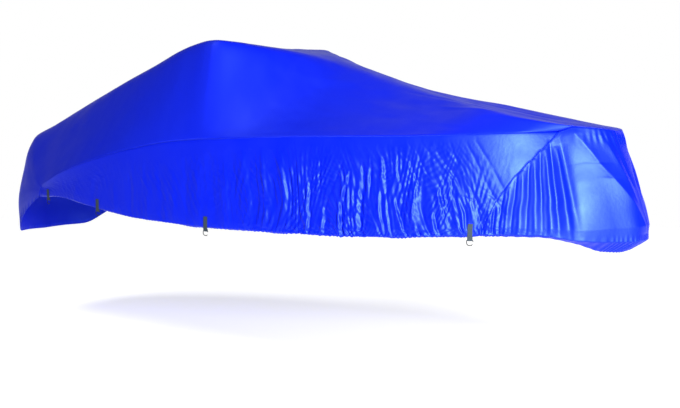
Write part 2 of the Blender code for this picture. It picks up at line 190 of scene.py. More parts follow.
def skirtPoint(aft, drop):
    # the starboard skirt: straight from rail to strake, down over it, then in to the hem
    aft, drop = np.broadcast_arrays(np.asarray(aft, float), np.asarray(drop, float))
    rail = deckPoint(np.maximum(aft, 0.0), np.where(aft < 0.0, -1.0 - aft / frontSpan, -1.0))
    knuckle = np.stack([along(skirtCurves, "knuckleX", aft), -along(skirtCurves, "knuckleY", aft),
                        along(skirtCurves, "knuckleZ", aft)], -1)
    chin = knuckle.copy()
    chin[..., 2] -= along(skirtCurves, "chin", aft)
    hem = np.stack([along(skirtCurves, "hemX", aft), -along(skirtCurves, "hemY", aft),
                    along(skirtCurves, "hemZ", aft)], -1)
    upper = rail + (knuckle - rail) * np.clip(drop / knuckleDrop, 0.0, 1.0)[..., None]
    middle = knuckle + (chin - knuckle) * ((drop - knuckleDrop) / (chinDrop - knuckleDrop))[..., None]
    lower = chin + (hem - chin) * ((drop - chinDrop) / (1.0 - chinDrop))[..., None]
    belowKnuckle = np.where(drop[..., None] <= chinDrop, middle, lower)
    return np.where(drop[..., None] <= knuckleDrop, upper, belowKnuckle)


# A fold runs from station aftTop at drop top to station aftFoot at drop foot. A depth above 0 is a ridge,
# below 0 a trough; edge is near 1 for a sharp fold and near 2 for a round one. Columns:
# aftTop, top, aftFoot, foot, width, depth, edge
mainFolds = (
    # bow face: the edge where the side turns to the front, and the softer fold ahead of it
    (-0.03, -0.02, -0.16, 0.40, 0.050, 0.016, 1.1),
    (-0.12, 0.28, -0.40, 0.86, 0.070, 0.018, 1.1),
    (-0.18, 0.04, -0.36, 0.62, 0.035, 0.009, 1.4),
    (-0.26, 0.10, -0.40, 0.50, 0.030, -0.007, 1.6),
    # gathers under the bow seam
    (0.000, 0.10, 0.005, 0.92, 0.014, -0.010, 1.5),
    (0.030, 0.12, 0.038, 0.94, 0.014, 0.010, 1.6),
    (0.052, 0.05, 0.060, 0.94, 0.011, -0.016, 1.3),
    (0.078, 0.14, 0.084, 0.94, 0.013, 0.012, 1.6),
    (0.102, 0.14, 0.106, 0.94, 0.011, -0.019, 1.3),
    (0.130, 0.22, 0.130, 0.94, 0.012, 0.012, 1.6),
    (0.150, 0.24, 0.152, 0.94, 0.011, -0.018, 1.3),
    (0.178, 0.32, 0.176, 0.94, 0.013, 0.012, 1.6),
    (0.200, 0.36, 0.200, 0.94, 0.011, -0.015, 1.3),
    (0.228, 0.46, 0.226, 0.94, 0.014, 0.010, 1.6),
    (0.254, 0.50, 0.254, 0.94, 0.012, -0.012, 1.3),
    (0.290, 0.58, 0.288, 0.94, 0.014, -0.009, 1.4),
    (0.325, 0.66, 0.325, 0.94, 0.014, 0.008, 1.4),
    # side panel: broad dark hollows between the bright facets
    (0.760, 0.10, 0.480, 0.55, 0.035, -0.012, 1.6),
    (0.480, 0.50, 0.300, 0.92, 0.030, -0.014, 1.6),
    (0.640, 0.42, 0.560, 0.96, 0.028, -0.012, 1.6),
    (0.990, 0.36, 0.900, 0.96, 0.030, -0.010, 1.8),
    (1.270, 0.20, 1.240, 0.96, 0.034, -0.012, 1.8),
    (1.540, 0.56, 1.500, 0.96, 0.026, -0.010, 1.6),
    (1.615, 0.10, 1.560, 0.66, 0.009, -0.0050, 1.2),
    (1.415, 0.20, 1.560, 0.68, 0.010, -0.0060, 1.2),
    (1.500, 0.16, 1.600, 0.50, 0.012, 0.0040, 1.4),
    (1.070, 0.03, 0.840, 0.32, 0.009, -0.0045, 1.2),
    (0.955, 0.03, 0.760, 0.36, 0.009, -0.0050, 1.2),
    (0.860, 0.04, 0.700, 0.26, 0.009, -0.0045, 1.2),
    (1.160, 0.10, 1.020, 0.40, 0.010, -0.0040, 1.2),
    (0.760, 0.12, 0.560, 0.46, 0.010, 0.0050, 1.4),
    (0.620, 0.40, 0.830, 0.44, 0.010, -0.0030, 1.4),
    (1.760, 0.14, 1.700, 0.80, 0.035, 0.0055, 1.8),
    (1.840, 0.20, 1.800, 0.92, 0.030, -0.0072, 1.4),
    (1.930, 0.12, 1.850, 0.85, 0.043, 0.0066, 1.8),
    (2.010, 0.12, 1.930, 0.90, 0.033, -0.0072, 1.5),
    (2.090, 0.10, 2.020, 0.86, 0.045, 0.0066, 1.8),
    (2.190, 0.10, 2.100, 0.88, 0.035, -0.0066, 1.5),
    (2.270, 0.12, 2.200, 0.90, 0.045, 0.0055, 1.8),
    (2.370, 0.10, 2.280, 0.80, 0.037, -0.0055, 1.5),
    (2.440, 0.30, 2.400, 0.92, 0.030, 0.0044, 1.6),
    (2.560, 0.14, 2.490, 0.84, 0.043, -0.0044, 1.6),
    (2.680, 0.20, 2.640, 0.90, 0.033, 0.0042, 1.6),
    (2.800, 0.18, 2.760, 0.88, 0.033, -0.0049, 1.6),
    (2.920, 0.30, 2.890, 0.92, 0.027, 0.0042, 1.6),
    (3.050, 0.24, 3.020, 0.90, 0.030, -0.0042, 1.6),
    (3.200, 0.34, 3.180, 0.92, 0.025, 0.0035, 1.6),
    (3.380, 0.30, 3.360, 0.90, 0.030, -0.0035, 1.6),
    (3.560, 0.40, 3.550, 0.92, 0.025, 0.0028, 1.6),
    (3.780, 0.36, 3.790, 0.92, 0.030, -0.0028, 1.6),
    (4.020, 0.40, 4.050, 0.92, 0.037, 0.0028, 1.6),
    # long thin creases across the top corner beside the bow seam
    (0.655, 0.05, 0.550, 0.34, 0.009, -0.0040, 1.3),
    (0.550, 0.34, 0.300, 0.80, 0.010, -0.0075, 1.3),
    (0.545, 0.06, 0.390, 0.39, 0.010, -0.0040, 1.3),
    (0.390, 0.39, 0.215, 0.72, 0.011, -0.0060, 1.3),
    (0.495, 0.03, 0.345, 0.30, 0.010, -0.0034, 1.3),
    (0.345, 0.30, 0.230, 0.54, 0.010, -0.0050, 1.3),
    (0.420, 0.45, 0.250, 0.60, 0.012, -0.0040, 1.3),
    (0.600, 0.50, 0.340, 0.62, 0.012, 0.0035, 1.3),
)

# A facet is a fold whose cloth stands out aft of its line and falls back ahead of it. Columns:
# aftTop, top, aftFoot, foot, width, depth
mainFacets = (
    (0.560, 0.52, 0.430, 0.98, 0.026, 0.014),
    (0.640, 0.36, 0.500, 0.90, 0.020, 0.009),
    (0.700, 0.44, 0.640, 0.70, 0.022, 0.010),
    (0.720, 0.64, 0.670, 0.98, 0.024, 0.013),
    (0.850, 0.38, 0.795, 0.84, 0.046, 0.023),
    (0.800, 0.64, 0.725, 0.98, 0.028, 0.016),
    (0.860, 0.60, 0.790, 0.98, 0.018, 0.010),
    (0.930, 0.20, 0.830, 0.44, 0.014, 0.007),
    (0.900, 0.10, 0.740, 0.40, 0.013, 0.006),
    (1.000, 0.30, 0.930, 0.64, 0.017, 0.009),
    (0.990, 0.56, 0.880, 0.96, 0.017, 0.010),
    (1.010, 0.16, 1.000, 0.36, 0.012, 0.007),
    (1.120, 0.17, 1.070, 0.50, 0.024, 0.014),
    (1.120, 0.42, 1.060, 0.90, 0.018, 0.011),
    (1.060, 0.50, 1.000, 0.96, 0.014, 0.009),
    (1.160, 0.66, 1.060, 0.98, 0.014, 0.008),
    (1.215, 0.18, 1.195, 0.54, 0.015, 0.009),
    (1.270, 0.20, 1.260, 0.46, 0.012, 0.005),
    (1.360, 0.28, 1.430, 0.66, 0.017, 0.011),
    (1.430, 0.52, 1.400, 0.98, 0.022, 0.013),
    (1.380, 0.60, 1.330, 0.96, 0.013, 0.009),
    (1.560, 0.60, 1.540, 0.98, 0.018, 0.011),
    (1.680, 0.40, 1.672, 0.98, 0.019, 0.013),
    (1.770, 0.56, 1.760, 0.98, 0.012, 0.008),
    (1.730, 0.12, 1.760, 0.36, 0.018, 0.003),
    (1.900, 0.12, 1.850, 0.70, 0.024, 0.005),
    (2.080, 0.14, 2.010, 0.84, 0.022, 0.006),
    (2.240, 0.12, 2.150, 0.80, 0.026, 0.006),
    (2.420, 0.20, 2.340, 0.90, 0.020, 0.005),
    # bow gathers: their aft shoulders catch the light from top to hem
    (0.020, 0.14, 0.024, 0.94, 0.013, 0.006),
    (0.092, 0.20, 0.098, 0.96, 0.012, 0.008),
    (0.140, 0.28, 0.142, 0.96, 0.012, 0.008),
    (0.188, 0.36, 0.190, 0.96, 0.012, 0.007),
    (0.240, 0.48, 0.240, 0.96, 0.013, 0.007),
    (0.300, 0.62, 0.296, 0.98, 0.013, 0.007),
    (0.370, 0.74, 0.350, 0.98, 0.014, 0.008),
)


def smoothNoise(u, v, seed):
    # value noise between -1 and 1, one cell to a unit
    source = np.random.default_rng(seed).uniform(-1.0, 1.0, (256, 256))
    iu, iv = np.floor(u).astype(int), np.floor(v).astype(int)
    fu, fv = u - iu, v - iv
    fu, fv = fu * fu * (3 - 2 * fu), fv * fv * (3 - 2 * fv)
    a, b = source[iu % 256, iv % 256], source[(iu + 1) % 256, iv % 256]
    c, d = source[iu % 256, (iv + 1) % 256], source[(iu + 1) % 256, (iv + 1) % 256]
    return (a + (b - a) * fu) * (1 - fv) + (c + (d - c) * fu) * fv


def ease(value, low, high):
    t = np.clip((value - low) / (high - low), 0.0, 1.0)
    return t * t * (3.0 - 2.0 * t)


foldLines = {"sway": 0.007, "swayRun": 0.16, "swayTall": 0.085,  # metres aside, and metres from sway to sway
             "kink": 0.0028, "kinkRun": 0.06, "kinkTall": 0.045,
             "stillSeam": (0.05, 0.25), "stillBow": (0.30, 0.65), "bowShare": 0.30, "facetLift": 1.5}


def foldField(aft, drop, folds, facets, seed):
    # the lines of the folds sway, with small kinks where creases cross them, but stay true near the seams
    look, tall = foldLines, drop * skirtTall
    waver = look["sway"] * smoothNoise(aft / look["swayRun"], tall / look["swayTall"], seed + 71)
    waver += look["kink"] * smoothNoise(aft / look["kinkRun"], tall / look["kinkTall"], seed + 72)
    atBow = look["bowShare"] + (1.0 - look["bowShare"]) * ease(aft, *look["stillBow"])
    waver = waver * ease(drop, *look["stillSeam"]) * atBow
    height = np.zeros_like(aft)
    for aftTop, top, aftFoot, foot, width, depth, edge in folds:
        run = np.clip((drop - top) / (foot - top), 0.0, 1.0)
        inside = np.sin(math.pi * run) ** 0.55
        off = np.abs(aft + waver - aftTop - (aftFoot - aftTop) * run) / width
        height += depth * inside * np.exp(-off**edge * 1.1)
    for aftTop, top, aftFoot, foot, width, depth in facets:
        run = np.clip((drop - top) / (foot - top), 0.0, 1.0)
        swell = np.sin(math.pi * run) ** 0.6
        wide = width * (0.45 + 0.55 * swell)
        off = (aft + 1.4 * waver - aftTop - (aftFoot - aftTop) * run) / wide
        height += look["facetLift"] * depth * swell * off * np.exp(-np.abs(off) ** 2.4)
    return height


# families of small sharp creases: lean from upright in degrees, spacing, height, patch size, bare share
creaseFamilies = (
    (10.0, 0.110, 0.0064, 0.22, 0.10),
    (32.0, 0.086, 0.0046, 0.16, 0.25),
    (44.0, 0.070, 0.0034, 0.20, 0.35),
    (-8.0, 0.083, 0.0042, 0.18, 0.25),
    (-22.0, 0.066, 0.0028, 0.13, 0.50),
    (20.0, 0.058, 0.0026, 0.12, 0.15),
    (66.0, 0.062, 0.0020, 0.15, 0.35),
    (-64.0, 0.068, 0.0016, 0.12, 0.40),
)
# how crumpled the cloth is: station, strength
crumpleZones = (
    (-0.45, 0.03), (-0.06, 0.05), (0.00, 0.22), (0.20, 0.34), (0.40, 0.60), (0.62, 1.00),
    (1.30, 1.10), (1.75, 0.80), (2.10, 0.50), (2.60, 0.32), (3.10, 0.22), (4.55, 0.14),
)
crumpleLift = 3.0


def crumple(aft, drop, seed):
    strength = np.interp(aft, [zone[0] for zone in crumpleZones], [zone[1] for zone in crumpleZones])
    taut = 1.0 - 0.85 * ease(0.75 - aft - 0.55 * drop, 0.0, 0.30)  # pulled smooth above the bow seam
    strength = strength * taut * (0.30 + 0.70 * ease(drop, 0.10, 0.38))
    x, y = aft, drop * skirtTall
    height = np.zeros_like(aft)
    for place, (lean, spacing, tall, patch, bare) in enumerate(creaseFamilies):
        slope = math.radians(lean)
        run = x * math.cos(slope) + y * math.sin(slope)
        line = y * math.cos(slope) - x * math.sin(slope)
        own = seed + 7 * place
        warp = 0.75 * smoothNoise(run / 0.19, line / 0.30, own)
        warp += 0.10 * smoothNoise(run / 0.07, line / 0.16, own + 1)
        turn = run / spacing + warp
        part = np.abs(turn - np.floor(turn) - 0.5) * 2.0
        # one sharp trough a spacing, with broad facets between
        peaked = np.sqrt((part - 0.42) ** 2 + 0.0012) - 0.27
        patches = smoothNoise(x / patch + 9.0 * place, y / (1.5 * patch) + 4.0, own + 2)
        height += tall * peaked * ease(patches, bare - 0.55, bare + 0.25)
    return crumpleLift * height * strength


hemElastic = {"spacing": 0.034, "height": 0.0042, "stretch": 1.02, "lift": 0.006,
              "starts": 0.84, "full": 0.955}  # drops between which the gathers grow


def elasticPuckers(aft, drop, seed):
    run, level = aft * hemElastic["stretch"], np.zeros_like(drop)
    phase = 2.0 * math.pi * (run / hemElastic["spacing"] + 0.7 * smoothNoise(run / 0.09, level, seed))
    strength = hemElastic["height"] * (0.65 + 0.35 * smoothNoise(run / 0.12, level + 3.0, seed + 1))
    gathered = ease(drop, hemElastic["starts"], hemElastic["full"]) - 0.35 * ease(drop, 0.975, 1.0)
    return strength * np.sin(phase) * gathered


tabStations = (0.45, 2.585, 3.75, 4.42)


def skirtHeight(aft, drop, folds, facets, seed):
    height = foldField(aft, drop, folds, facets, seed)
    upper = ease(drop, 0.02, 0.16)
    lower = 1.0 - 0.55 * ease(drop, 0.90, 1.0)
    height += crumple(aft, drop, seed) * upper * lower
    # cloth bridging between the rail and the strake sags a little
    height += -0.004 * np.sin(math.pi * np.clip(drop / knuckleDrop, 0.0, 1.0)) * ease(aft, 0.5, 1.2)
    height += elasticPuckers(aft, drop, seed + 11)
    for station in tabStations:  # each tab pulls the cloth under it nearly flat
        pulled = np.exp(-((aft - station) / 0.045) ** 4) * ease(drop, 0.55, 0.80)
        height *= 1.0 - 0.93 * pulled
    height *= ease(quarterAft - aft, 0.0, 0.05)
    return height * ease(drop, 0.0, 0.05)


def sheetNormals(points):
    down = np.gradient(points, axis=0)
    across = np.gradient(points, axis=1)
    normals = np.cross(across, down)
    return normals / np.maximum(np.linalg.norm(normals, axis=-1, keepdims=True), 1e-12)


def meshObject(name, vertices, faceSets, material, smooth=True, uv=None):
    # faceSets holds one array of faces for each number of corners
    mesh = bpy.data.meshes.new(name)
    corners = np.concatenate([faces.ravel() for faces in faceSets])
    sizes = np.concatenate([np.full(len(faces), faces.shape[1]) for faces in faceSets])
    mesh.vertices.add(len(vertices))
    mesh.vertices.foreach_set("co", np.asarray(vertices, float).ravel())
    mesh.loops.add(len(corners))
    mesh.loops.foreach_set("vertex_index", corners)
    mesh.polygons.add(len(sizes))
    mesh.polygons.foreach_set("loop_start", np.concatenate([[0], np.cumsum(sizes)[:-1]]))
    mesh.polygons.foreach_set("loop_total", sizes)
    if uv is not None:
        layer = mesh.uv_layers.new(name="cloth")
        layer.data.foreach_set("uv", uv[corners].ravel())
    mesh.update(calc_edges=True)
    mesh.validate()
    mesh.polygons.foreach_set("use_smooth", np.full(len(mesh.polygons), smooth))
    mesh.materials.append(material)
    made = bpy.data.objects.new(name, mesh)
    bpy.context.scene.collection.objects.link(made)
    return made


def ringOf(index):
    # the grid's rim, once round
    return np.concatenate([index[0, :], index[1:, -1], index[-1, -2::-1], index[-2:0:-1, 0]])


def faceGrid(index):
    a, b, c, d = index[:-1, :-1], index[:-1, 1:], index[1:, 1:], index[1:, :-1]
    return np.stack([a, d, c, b], -1).reshape(-1, 4)


def softened(points, rounds):
    for _ in range(rounds):
        inside = points[1:-1, 1:-1]
        around = points[:-2, 1:-1] + points[2:, 1:-1] + points[1:-1, :-2] + points[1:-1, 2:]
        points = points.copy()
        points[1:-1, 1:-1] = 0.5 * inside + 0.125 * around
    return points


# the back is coarser and softer than the face, so inside its rim it keeps clear of the small creases
sheetBack = {"rim": 6, "clear": 0.0022, "softening": 3}


def closedSheet(name, outer, material, outward, flatPlace):
    # outer is rows x columns x 3, both odd; the back has half as many rows and columns
    # flatPlace is where each point lies in the flat cloth, in metres, so the weave has its real size
    normals = sheetNormals(outer)
    if np.sum(normals * outward) < 0.0:
        normals = -normals
    thick = np.full(outer.shape[:2], clothThick)
    rim = sheetBack["rim"]
    thick[rim:-rim, rim:-rim] += sheetBack["clear"]
    inner = (softened(outer, sheetBack["softening"]) - normals * thick[..., None])[::2, ::2]
    rows, columns = outer.shape[:2]
    index = np.arange(rows * columns).reshape(rows, columns)
    total = rows * columns
    backIndex = total + np.arange(inner.shape[0] * inner.shape[1]).reshape(inner.shape[:2])
    front, back = faceGrid(index), faceGrid(backIndex)[:, ::-1]
    fine, coarse = ringOf(index), ringOf(backIndex)
    following = np.roll(coarse, -1)
    edge = np.stack([fine[::2], fine[1::2], np.roll(fine, -2)[::2], following, coarse], -1)
    uv = np.stack(flatPlace, -1)
    uv = np.concatenate([uv.reshape(-1, 2), uv[::2, ::2].reshape(-1, 2)])
    vertices = np.concatenate([outer.reshape(-1, 3), inner.reshape(-1, 3)]) - heldAt
    made = meshObject(name, vertices, [np.concatenate([front, back]), edge], material, uv=uv)
    middle = (rows // 2, columns // 2)
    down = outer[middle[0] + 1, middle[1]] - outer[middle]
    right = outer[middle[0], middle[1] + 1] - outer[middle]
    if np.dot(np.cross(down, right), normals[middle]) < 0.0:
        made.data.flip_normals()
    return made


def seamGroove(distance, depth=0.0022, reach=0.006):
    return -depth * np.exp(-(distance / reach) ** 2)


def hemLine(drop, tall):
    # the stitched line over the elastic's tunnel, shallower than a seam
    return seamGroove((drop - hemLineDrop) * tall, 0.0015, 0.004)


def standIn(piece, node):
    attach(piece, "root")
    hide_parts(node)


# pu coated polyester: a fine plain weave under a smooth coating, deep even blue with a soft broad shine
clothFinish = {
    "colour": "#0012b6",
    "shine": "#a2ddff",  # the blue coating tints what it reflects
    "ior": 1.45,
    "specular": 0.40,
    "threadSpacing": 0.604,  # mm, true size, too fine to show from where the camera stands
    "grain": 18.2,  # mm, the small unevenness of the cloth between its creases
    "cloud": 167.0,  # mm, where the coating turns from glossier to duller
}


def clothMaterial(name, glossiest, mattest):
    made, tree = newMaterial(name)
    coords = addNode(tree, "ShaderNodeUVMap", {"uv_map": "cloth"})
    flat = {"Vector": coords.outputs["UV"]}
    threadScale = 100.0 * math.pi / clothFinish["threadSpacing"]  # the wave repeats every pi/10 at scale 1
    warp, weft = (
        addNode(tree, "ShaderNodeTexWave", {"wave_type": "BANDS", "bands_direction": way}, flat,
                Scale=threadScale, Distortion=0.0)
        for way in ("X", "Y")
    )
    threads = addNode(tree, "ShaderNodeMath", {"operation": "ADD"},
                      {0: warp.outputs["Fac"], 1: weft.outputs["Fac"]})
    grain = addNode(tree, "ShaderNodeTexNoise", {"noise_dimensions": "2D"}, flat,
                    Scale=1000.0 / clothFinish["grain"], Detail=4.0, Roughness=0.55)
    weaveBump = addNode(tree, "ShaderNodeBump", None, {"Height": threads.outputs[0]},
                        Strength=0.25, Distance=0.00008)
    grainBump = addNode(tree, "ShaderNodeBump", None,
                        {"Height": grain.outputs["Fac"], "Normal": weaveBump.outputs["Normal"]},
                        Strength=0.35, Distance=0.0018)
    cloudy = addNode(tree, "ShaderNodeTexNoise", {"noise_dimensions": "2D"}, flat,
                     Scale=1000.0 / clothFinish["cloud"], Detail=3.0, Roughness=0.5)
    rough = addNode(tree, "ShaderNodeMapRange", None, {"Value": cloudy.outputs["Fac"]},
                    From_Min=0.3, From_Max=0.7, To_Min=glossiest, To_Max=mattest)
    shader = addNode(tree, "ShaderNodeBsdfPrincipled", None,
                     {"Roughness": rough.outputs["Result"], "Normal": grainBump.outputs["Normal"]},
                     Base_Color=hexLinear(clothFinish["colour"]), IOR=clothFinish["ior"],
                     Specular_IOR_Level=clothFinish["specular"],
                     Specular_Tint=hexLinear(clothFinish["shine"]))
    finishMaterial(tree, shader)
    return made


def plainMaterial(name, code, roughness, specular, **glow):
    made, tree = newMaterial(name)
    shader = addNode(tree, "ShaderNodeBsdfPrincipled", Base_Color=hexLinear(code), Roughness=roughness,
                     Specular_IOR_Level=specular, **glow)
    finishMaterial(tree, shader)
    return made


cloth = clothMaterial("puCoatedPolyester", 0.36, 0.45)
topCloth = clothMaterial("puCoatedPolyesterTop", 0.50, 0.60)  # the top is dulled by sun and rain
nylonWebbing = plainMaterial("nylonWebbing", "#2b353e", 0.85, 0.2)  # dark slate grey, matt and ribbed
acetalHook = plainMaterial("acetalHook", "#0f1215", 0.50, 0.2)  # near black, moulded, a soft shine
print("materials ready")


def dropRows(count, nextDrop):
    # four close rows beside the rail seam, then even rows to the hem
    return np.concatenate([np.linspace(0.0, 0.03, 4), np.linspace(nextDrop, 1.0, count - 4)])


def skirtNormals(aft, drop, outward):
    # outward is a way that the whole panel faces
    aftStep, dropStep = 0.01, 0.02
    ahead = skirtPoint(np.maximum(aft - aftStep, -frontSpan), drop)
    behind = skirtPoint(np.minimum(aft + aftStep, quarterAft), drop)
    above = skirtPoint(aft, np.maximum(drop - dropStep, 0.0))
    below = skirtPoint(aft, np.minimum(drop + dropStep, 1.0))
    normals = np.cross(ahead - behind, above - below)
    normals /= np.linalg.norm(normals, axis=-1, keepdims=True)
    normals[normals @ np.array(outward) < 0.0] *= -1.0
    return normals


# seamReach is how far aft the columns bend to follow the bow seam
sidePiece = {"columns": 601, "rows": 121, "flat": (0.80, 4.95), "area": 2.85, "nextDrop": 0.055,
             "seamReach": 1.2, "hemTall": 0.5}


def unevenShare(count, crowded, bend):
    # shares from 0 to 1, closer together over the first part
    places = [0.0, bend, bend + 0.2, 1.0]
    steps = np.interp(np.linspace(0.0, 1.0, count - 1), places, [crowded, crowded, 1.0, 1.25])
    return np.concatenate([[0.0], np.cumsum(steps) / np.sum(steps)])


def sidePanel(node, side, seed, folds, facets):
    drops = dropRows(sidePiece["rows"], sidePiece["nextDrop"])
    seam = along(bowSeamCurves, "aft", drops)
    upright = quarterAft * unevenShare(sidePiece["columns"], 0.55, 0.55)
    bend = np.clip(1.0 - upright / sidePiece["seamReach"], 0.0, 1.0) ** 2
    aft = upright[None, :] + seam[:, None] * bend[None, :]
    drop = np.repeat(drops[:, None], aft.shape[1], 1)
    normals = skirtNormals(aft, drop, (0.0, -1.0, 0.0))
    height = skirtHeight(aft, drop, folds, facets, seed)
    height += seamGroove((aft - seam[:, None]) * bowSeamLean) + seamGroove(drop * seamTall)
    height += seamGroove(quarterAft - aft) + hemLine(drop, sidePiece["hemTall"])
    outer = skirtPoint(aft, drop) + normals * height[..., None]
    # the elastic draws the hem up between its puckers
    lift = hemElastic["lift"] * smoothNoise(aft / 0.16, np.zeros_like(drop), seed + 21)
    outer[..., 2] += lift * ease(drop, 0.9, 1.0)
    if side > 0:
        outer[..., 1] *= -1.0
        normals[..., 1] *= -1.0
    piece = closedSheet("seen_" + node, outer, cloth, normals, (aft, drop * skirtTall))
    standIn(piece, node)


def shifted(folds, seed):
    # the far side creases in its own way: the same kind of folds, moved and resized
    chance = np.random.default_rng(seed)
    moved = []
    for aftTop, top, aftFoot, foot, width, depth, *edge in folds:
        slide = chance.uniform(-0.03, 0.03) if aftTop > 0.3 else chance.uniform(-0.006, 0.006)
        moved.append((aftTop + slide, top, aftFoot + slide * 0.8, foot, width * chance.uniform(0.85, 1.2),
                      depth * chance.uniform(0.7, 1.1), *edge))
    return tuple(moved)


portFolds, portFacets = shifted(mainFolds, 31), shifted(mainFacets, 32)
starboardSeed, portSeed = 3, 47
sidePanel("side_panel_starboard", -1, starboardSeed, mainFolds, mainFacets)
sidePanel("side_panel_port", 1, portSeed, portFolds, portFacets)
print("side panels ready")

bowPiece = {"columns": 401, "rows": 141, "flat": (0.95, 2.25), "area": 1.80, "nextDrop": 0.05,
            "tall": 0.70, "stretch": 1.3, "hemTall": 0.6}
pulpitPuckers = {"height": 0.0035, "drop": 0.07, "reach": 0.05, "turns": 150.0, "span": 0.30}


def bowPanel():
    drops = dropRows(bowPiece["rows"], bowPiece["nextDrop"])
    seam = along(bowSeamCurves, "aft", drops)
    share = np.linspace(1.0, -1.0, bowPiece["columns"])  # 1 at the starboard seam, 0 at the stem
    starboard = (share >= 0.0)[None, :]
    aft = np.abs(share)[None, :] * (frontSpan + seam[:, None]) - frontSpan
    drop = np.repeat(drops[:, None], aft.shape[1], 1)
    normals = skirtNormals(aft, drop, (0.8, -1.0, 0.0))
    nearSide = skirtHeight(aft, drop, mainFolds, mainFacets, starboardSeed)
    farSide = skirtHeight(aft, drop, portFolds, portFacets, portSeed)
    height = np.where(starboard, nearSide, farSide)
    height += seamGroove((seam[:, None] - aft) * bowSeamLean) + seamGroove(drop * seamTall)
    # small puckers just under the pulpit's front edge
    wave = np.sin(aft * pulpitPuckers["turns"] + 3.0 * np.sin(share * 9.0)[None, :])
    near = np.exp(-((drop - pulpitPuckers["drop"]) / pulpitPuckers["reach"]) ** 2)
    height += pulpitPuckers["height"] * wave * np.clip(-aft / pulpitPuckers["span"], 0.0, 1.0) * near
    height += hemLine(drop, bowPiece["hemTall"])
    both = np.exp(-((aft + frontSpan) / 0.03) ** 2)  # the two sides meet evenly at the stem
    height = height * (1.0 - both) + 0.5 * (height + height[:, ::-1]) * both
    outer = skirtPoint(aft, drop) + normals * height[..., None]
    outer[..., 1] = np.where(starboard, outer[..., 1], -outer[..., 1])
    normals[..., 1] = np.where(starboard, normals[..., 1], -normals[..., 1])
    fromStem = np.where(starboard, aft + frontSpan, -aft - frontSpan) * bowPiece["stretch"]
    piece = closedSheet("seen_bow_panel", outer, cloth, normals, (fromStem, drop * bowPiece["tall"]))
    standIn(piece, "bow_panel")


bowPanel()
print("bow panel ready")

# the top and its flap over the stern; sideCrowd draws the columns together toward the rails
deckPiece = {"columns": 191, "rows": 331, "flapRows": 50, "sideCrowd": 1.25,
             "flat": (2.75, 6.30), "area": 14.2}
deckHem = {"spacing": 0.040, "height": 0.0035, "starts": 5.30, "full": 5.42}
deckFolds = (
    # aftStart, acrossStart, aftEnd, acrossEnd, width and depth in metres
    (0.20, -0.50, 0.80, -0.28, 0.050, 0.007),
    (0.18, -0.30, 1.10, -0.12, 0.050, 0.008),
    (0.05, 0.20, 0.90, 0.10, 0.060, 0.007),
    (0.20, 0.55, 1.00, 0.32, 0.070, 0.010),
    (0.70, -0.62, 1.50, -0.40, 0.070, -0.004),
    (0.60, 0.70, 1.60, 0.45, 0.080, -0.008),
    (0.02, -0.05, 0.50, -0.02, 0.040, -0.006),
    (0.15, -0.72, 1.00, -0.45, 0.022, 0.005),
    (0.10, -0.45, 1.30, -0.25, 0.020, -0.006),
    (0.10, 0.40, 0.90, 0.20, 0.022, 0.006),
    (1.60, -0.30, 2.40, -0.60, 0.060, 0.006),
    (1.60, 0.25, 2.40, 0.58, 0.060, 0.006),
    (2.70, -0.80, 3.60, -0.55, 0.070, 0.007),
    (2.70, 0.80, 3.60, 0.55, 0.070, 0.007),
    (3.00, -0.30, 4.20, -0.20, 0.090, -0.006),
    (3.10, 0.25, 4.10, 0.22, 0.090, -0.006),
    (4.50, -0.55, 5.30, -0.45, 0.045, 0.010),
    (4.50, -0.25, 5.40, -0.22, 0.050, -0.010),
    (4.50, 0.05, 5.40, 0.05, 0.050, 0.009),
    (4.50, 0.32, 5.40, 0.28, 0.050, -0.009),
    (4.50, 0.60, 5.30, 0.50, 0.045, 0.010),
)


def deckPanel():
    upper = np.linspace(0.0, quarterAft, deckPiece["rows"] - deckPiece["flapRows"])
    flap = np.linspace(0.0, 1.0, deckPiece["flapRows"] + 1)[1:]
    afts = np.concatenate([upper, quarterAft + flapSpan * flap])
    crowd = deckPiece["sideCrowd"]
    across = np.sin(np.linspace(-1.0, 1.0, deckPiece["columns"]) * crowd) / math.sin(crowd)
    aft = np.repeat(afts[:, None], len(across), 1)
    side = np.repeat(across[None, :], len(afts), 0)
    base = deckPoint(aft, side)
    # the flap's side edges follow the stern ends of the side panels
    onFlap = afts > quarterAft
    edge = skirtPoint(np.full(flap.shape, quarterAft), flap)
    for column, sign in ((0, 1.0), (-1, -1.0)):
        shift = edge * (1.0, sign, 1.0) - base[onFlap, column]
        weight = np.abs(across) ** 8 * (np.sign(across) == -sign)
        base[onFlap] += shift[:, None, :] * weight[None, :, None]
    normals = sheetNormals(base)
    if np.mean(normals[: len(upper) // 2, :, 2]) < 0.0:
        normals = -normals
    half = along(deckCurves, "half", aft)
    height = np.zeros_like(aft)
    for aftStart, acrossStart, aftEnd, acrossEnd, width, depth in deckFolds:
        run = np.clip((aft - aftStart) / (aftEnd - aftStart), 0.0, 1.0)
        off = (side - acrossStart - (acrossEnd - acrossStart) * run) * half / width
        height += depth * np.sin(math.pi * run) ** 0.6 * np.exp(-np.abs(off) ** 1.5)
    # slow unevenness and small ripples, longer fore and aft than across
    for tall, long, wide, seed in ((0.0030, 0.42, 0.13, 61), (0.0012, 0.12, 0.05, 62)):
        height += tall * smoothNoise(aft / long, side * half / wide + 40.0, seed)
    fromRail = (1.0 - np.abs(side)) * half
    height *= ease(np.minimum(fromRail, aft), 0.0, 0.06)
    height += seamGroove(fromRail) * (aft <= quarterAft) + seamGroove(aft)
    puckers = np.sin(2.0 * math.pi * side * half / deckHem["spacing"])
    height += deckHem["height"] * puckers * ease(aft, deckHem["starts"], deckHem["full"])
    outer = base + normals * height[..., None]
    piece = closedSheet("seen_deck_panel", outer, topCloth, normals, (aft, side * half))
    standIn(piece, "deck_panel")


deckPanel()
print("deck panel ready")

